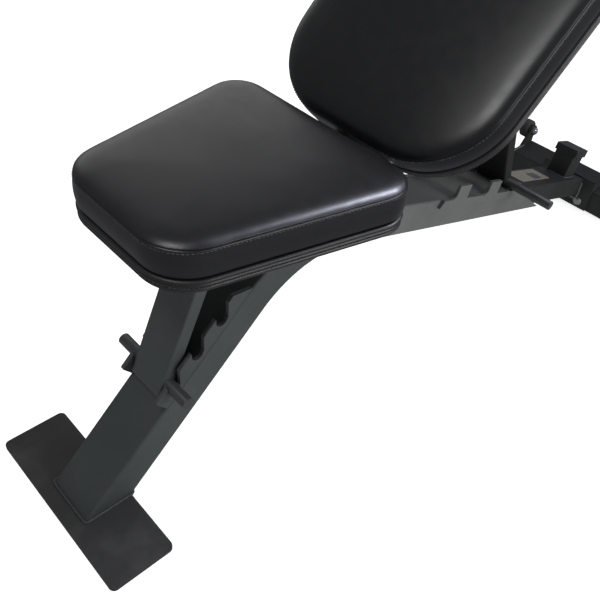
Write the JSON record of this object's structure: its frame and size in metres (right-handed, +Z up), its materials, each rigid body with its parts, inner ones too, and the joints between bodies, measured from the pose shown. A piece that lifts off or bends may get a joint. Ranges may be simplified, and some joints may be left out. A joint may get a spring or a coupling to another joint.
{
  "type": "adjustable weight bench",
  "caption": "Adjustable weight bench: boomerang tube frame, upholstered seat and backrest that tilt on hinges and are held by struts whose bars drop into notched ladders, with transport wheels.",
  "frame": {"origin": "on the floor, in the mid-plane, half way between the front foot's edge and the back of the transport wheels", "axes": "+X from the front foot towards the head end, +Y to the left of someone who looks from the front foot to the head end, +Z up"},
  "size_m": [1.306, 0.356, 0.8991],
  "materials": {
    "painted_steel": "satin dark grey powder coat",
    "zinc_steel": "bright zinc plating",
    "black_plastic": "moulded, slightly shiny",
    "rubber": "matt",
    "vinyl_foam": "black vinyl, semi-gloss, over foam",
    "wrapped_board": "plywood wrapped in black vinyl"
  },
  "bodies": {
    "frame": {"front_foot_plate": "painted_steel", "front_leg_tube": "painted_steel", "knee_tube": "painted_steel", "main_beam_tube": "painted_steel", "rear_beam_tube": "painted_steel", "seat_ladder_left": "painted_steel", "seat_ladder_right": "painted_steel", "back_ladder_left": "painted_steel", "back_ladder_right": "painted_steel", "rear_saddle": "painted_steel", "saddle_bolts": "zinc_steel", "rear_foot_tube": "painted_steel", "wheel_bracket_left": "painted_steel", "wheel_bracket_right": "painted_steel", "wheel_axle_left": "zinc_steel", "wheel_axle_right": "zinc_steel", "stub_post": "painted_steel", "stub_post_cap": "black_plastic", "hinge_cheek_left": "painted_steel", "hinge_cheek_right": "painted_steel", "seat_hinge_bolt": "zinc_steel", "back_hinge_bolt": "zinc_steel", "hinge_spacer": "zinc_steel"},
    "wheel_left": {"wheel_hub_left": "black_plastic", "wheel_tyre_left": "rubber"},
    "wheel_right": {"wheel_hub_right": "black_plastic", "wheel_tyre_right": "rubber"},
    "seat": {"seat_cushion": "vinyl_foam", "seat_board": "wrapped_board", "seat_flat_front": "painted_steel", "seat_flat_rear": "painted_steel", "seat_rail": "painted_steel", "seat_hinge_sleeve": "painted_steel", "seat_clevis_left": "painted_steel", "seat_clevis_right": "painted_steel", "seat_pivot_bolt": "zinc_steel", "seat_screws": "zinc_steel"},
    "seat_strut_arm": {"seat_strut": "painted_steel", "seat_locking_bar": "painted_steel"},
    "backrest": {"back_cushion": "vinyl_foam", "back_board": "wrapped_board", "back_flat_low": "painted_steel", "back_flat_high": "painted_steel", "back_rail_left": "painted_steel", "back_rail_right": "painted_steel", "back_lug_left": "painted_steel", "back_lug_right": "painted_steel", "back_pivot_bolt": "zinc_steel", "pivot_spacers": "zinc_steel", "back_screws": "zinc_steel", "back_rail_caps": "black_plastic"},
    "back_strut_arm": {"back_strut": "painted_steel", "back_locking_bar": "painted_steel"}
  },
  "joints": [
    {"name": "seat_tilt", "type": "hinge", "parent": "frame", "child": "seat", "pos_m": [-0.207, 0, 0.366], "axis": [0, 1, 0], "range_deg": [0, 22.5]},
    {"name": "seat_strut_swing", "type": "hinge", "parent": "seat", "child": "seat_strut_arm", "pos_m": [-0.423, 0, 0.322], "axis": [0, -1, 0], "range_deg": [0, 28.2]},
    {"name": "back_tilt", "type": "hinge", "parent": "frame", "child": "backrest", "pos_m": [-0.15717, 0, 0.35254], "axis": [0, -1, 0], "range_deg": [0, 22]},
    {"name": "back_strut_swing", "type": "hinge", "parent": "backrest", "child": "back_strut_arm", "pos_m": [0.1063, 0, 0.59056], "axis": [0, 1, 0], "range_deg": [0, 19.9]},
    {"name": "wheel_left_spin", "type": "hinge", "parent": "frame", "child": "wheel_left", "pos_m": [0.633, 0.159, 0.078], "axis": [0, 1, 0], "continuous": true},
    {"name": "wheel_right_spin", "type": "hinge", "parent": "frame", "child": "wheel_right", "pos_m": [0.633, -0.159, 0.078], "axis": [0, 1, 0], "continuous": true}
  ],
  "couplings": [
    {"joint": "seat_strut_swing", "follows": "seat_tilt", "ratio": 1.25},
    {"joint": "back_strut_swing", "follows": "back_tilt", "ratio": 0.9}
  ]
}
